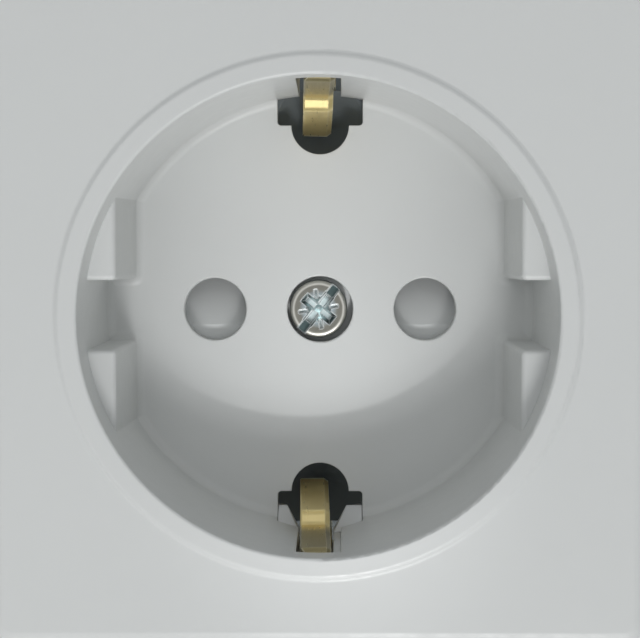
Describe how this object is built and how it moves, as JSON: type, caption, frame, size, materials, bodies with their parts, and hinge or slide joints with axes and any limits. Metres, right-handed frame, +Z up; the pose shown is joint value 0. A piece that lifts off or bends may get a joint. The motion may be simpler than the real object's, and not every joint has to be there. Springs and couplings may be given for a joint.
{
  "type": "socket insert",
  "caption": "Wall socket insert with a round well, shuttered pin holes and side earth contacts in a square plate, on a steel ring with claws and a screwless terminal base.",
  "frame": {"origin": "midway between the two box screws, on the back face of the support ring", "axes": "+X to the right as seen from the front, +Y into the wall, +Z up"},
  "size_m": [0.071, 0.0429, 0.071],
  "materials": {
    "cover_plastic": "light grey thermoplastic, semi-gloss, fine moulded surface",
    "shutter_plastic": "light grey moulded plastic, satin",
    "housing_plastic": "light grey moulded plastic, satin",
    "base_plastic": "black thermoset, matt",
    "rear_plastic": "dark grey moulded plastic, matt",
    "key_plastic": "off-white moulded plastic, satin",
    "zinc_screw": "bright zinc plate with blue passivation",
    "spring_steel": "bright spring steel",
    "brass_strip": "drawn brass strip, lightly tarnished",
    "contact_metal": "bronze strip, satin",
    "rivet_metal": "zinc-plated steel rivet",
    "ring_steel": "punched steel sheet, zinc plated, satin",
    "claw_steel": "bent steel strip, yellowish zinc plate"
  },
  "bodies": {
    "root": {"cover_plate": "cover_plastic", "centre_screw": "zinc_screw", "shutter_springs": "spring_steel", "shutter_housing": "housing_plastic", "base": "base_plastic", "earth_clip": "brass_strip", "clamp_nut": "zinc_screw", "contact_live": "contact_metal", "contact_neutral": "contact_metal", "earth_terminal": "contact_metal", "earth_rivet": "rivet_metal", "live_clamp_springs": "spring_steel", "neutral_clamp_springs": "spring_steel", "earth_clamp_springs": "spring_steel", "rear_cover": "rear_plastic", "rear_cover_screws": "zinc_screw", "support_ring": "ring_steel", "ring_rivets": "rivet_metal"},
    "shutter": {"shutter": "shutter_plastic"},
    "live_key": {"live_release_key": "key_plastic"},
    "earth_key": {"earth_release_key": "key_plastic"},
    "neutral_key": {"neutral_release_key": "key_plastic"},
    "claw_left": {"claw_left": "claw_steel", "claw_screw_left": "zinc_screw"},
    "claw_right": {"claw_right": "claw_steel", "claw_screw_right": "zinc_screw"}
  },
  "joints": [
    {"name": "shutter_slide", "type": "slide", "parent": "root", "child": "shutter", "axis": [0, 0, -1], "range_m": [0, 0.0059], "stiffness_N_per_m": 80, "springref_m": -0.004, "deforming": ["shutter_springs"]},
    {"name": "live_key_press", "type": "slide", "parent": "root", "child": "live_key", "axis": [0, -1, 0], "range_m": [0, 0.0014], "stiffness_N_per_m": 400, "springref_m": -0.0008},
    {"name": "earth_key_press", "type": "slide", "parent": "root", "child": "earth_key", "axis": [0, -1, 0], "range_m": [0, 0.0014], "stiffness_N_per_m": 400, "springref_m": -0.0008},
    {"name": "neutral_key_press", "type": "slide", "parent": "root", "child": "neutral_key", "axis": [0, -1, 0], "range_m": [0, 0.0014], "stiffness_N_per_m": 400, "springref_m": -0.0008},
    {"name": "claw_left_spread", "type": "hinge", "parent": "root", "child": "claw_left", "pos_m": [-0.02755, 0.0003, 0], "axis": [0, 0, 1], "range_deg": [0, 9]},
    {"name": "claw_right_spread", "type": "hinge", "parent": "root", "child": "claw_right", "pos_m": [0.02755, 0.0003, 0], "axis": [0, 0, -1], "range_deg": [0, 9]}
  ]
}
